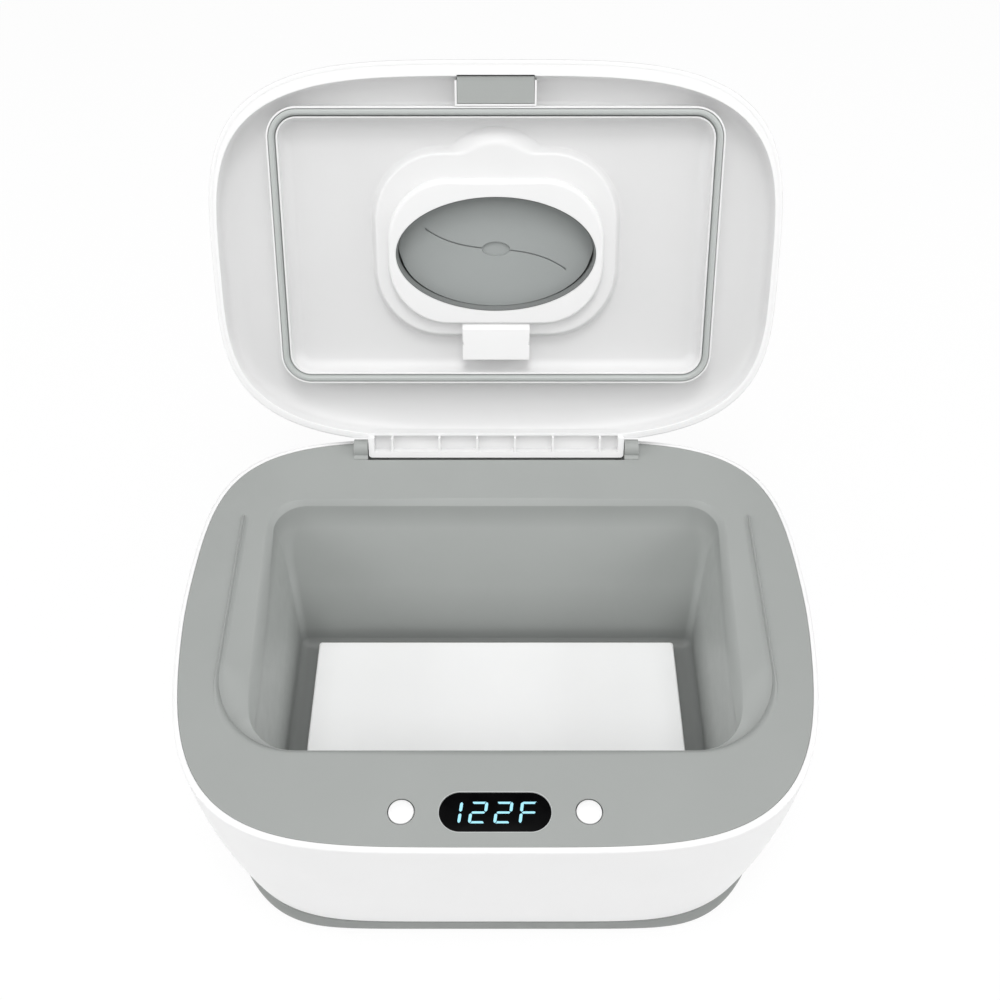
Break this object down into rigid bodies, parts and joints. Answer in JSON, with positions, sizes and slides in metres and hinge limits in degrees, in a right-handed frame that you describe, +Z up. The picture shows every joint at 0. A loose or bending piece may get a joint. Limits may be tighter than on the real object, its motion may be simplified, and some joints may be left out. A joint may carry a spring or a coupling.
{
  "type": "baby wipe warmer",
  "caption": "Countertop wipe warmer: tapered white housing, grey deck with a heated well, display and two buttons, and a hinged lid with a dispensing flap.",
  "frame": {"origin": "centre of the bounding box in plan, at the bottom of the rubber feet", "axes": "+Z up, -Y towards the display and buttons, +X to the right as seen from the front; the lid leans back over +Y"},
  "size_m": [0.24, 0.262, 0.2238],
  "materials": {
    "white_shell": "smooth satin-gloss white moulding",
    "grey_deck": "fine matt grey moulding",
    "white_pad": "dense white fibre pad with a fine grain",
    "grey_silicone": "matt grey silicone",
    "seal_silicone": "pale translucent-looking silicone",
    "foot_rubber": "soft dark rubber",
    "black_window": "glossy black display window",
    "dark_plastic": "dark moulded plastic",
    "circuit_board": "green solder mask",
    "steel": "zinc plated steel",
    "aluminium_plate": "mill finish sheet",
    "heater_foil": "amber polyimide film",
    "insulation": "pressed fibre board",
    "red_wire": "red insulated wire",
    "black_wire": "black insulated wire",
    "sensor_body": "resin coated component"
  },
  "bodies": {
    "housing": {"outer_housing": "white_shell", "base_cover": "grey_deck", "tub_deck": "grey_deck", "moisture_pad": "white_pad", "heater_plate": "aluminium_plate", "heater_film": "heater_foil", "heater_screws": "steel", "insulation_board": "insulation", "thermal_fuse": "sensor_body", "thermistor": "sensor_body", "heater_leads": "red_wire", "control_board": "circuit_board", "display_module": "dark_plastic", "display_window": "black_window", "tact_switches": "dark_plastic", "board_screws": "steel", "dc_jack": "dark_plastic", "jack_nut": "steel", "jack_leads": "black_wire", "rubber_feet": "foot_rubber", "base_screws": "steel", "hinge_pins": "steel"},
    "lid": {"lid_outer_shell": "white_shell", "lid_inner_panel": "white_shell", "lid_seal": "seal_silicone", "lid_grip_insert": "grey_deck", "dispenser_insert": "grey_silicone", "flap_hinge_pin": "steel"},
    "flap": {"dispenser_flap": "white_shell", "flap_seal": "seal_silicone"},
    "left_button": {"left_button": "white_shell"},
    "right_button": {"right_button": "white_shell"}
  },
  "joints": [
    {"name": "lid_hinge", "type": "hinge", "parent": "housing", "child": "lid", "pos_m": [0, 0.04725, 0.0873], "axis": [1, 0, 0], "range_deg": [0, 118]},
    {"name": "flap_hinge", "type": "hinge", "parent": "lid", "child": "flap", "pos_m": [0, 0.08502, 0.11615], "axis": [-1, 0, 0], "range_deg": [0, 100]},
    {"name": "left_button_press", "type": "slide", "parent": "housing", "child": "left_button", "axis": [0, 0, -1], "range_m": [0, 0.0008], "stiffness_N_per_m": 800, "springref_m": -0.001},
    {"name": "right_button_press", "type": "slide", "parent": "housing", "child": "right_button", "axis": [0, 0, -1], "range_m": [0, 0.0008], "stiffness_N_per_m": 800, "springref_m": -0.001}
  ]
}
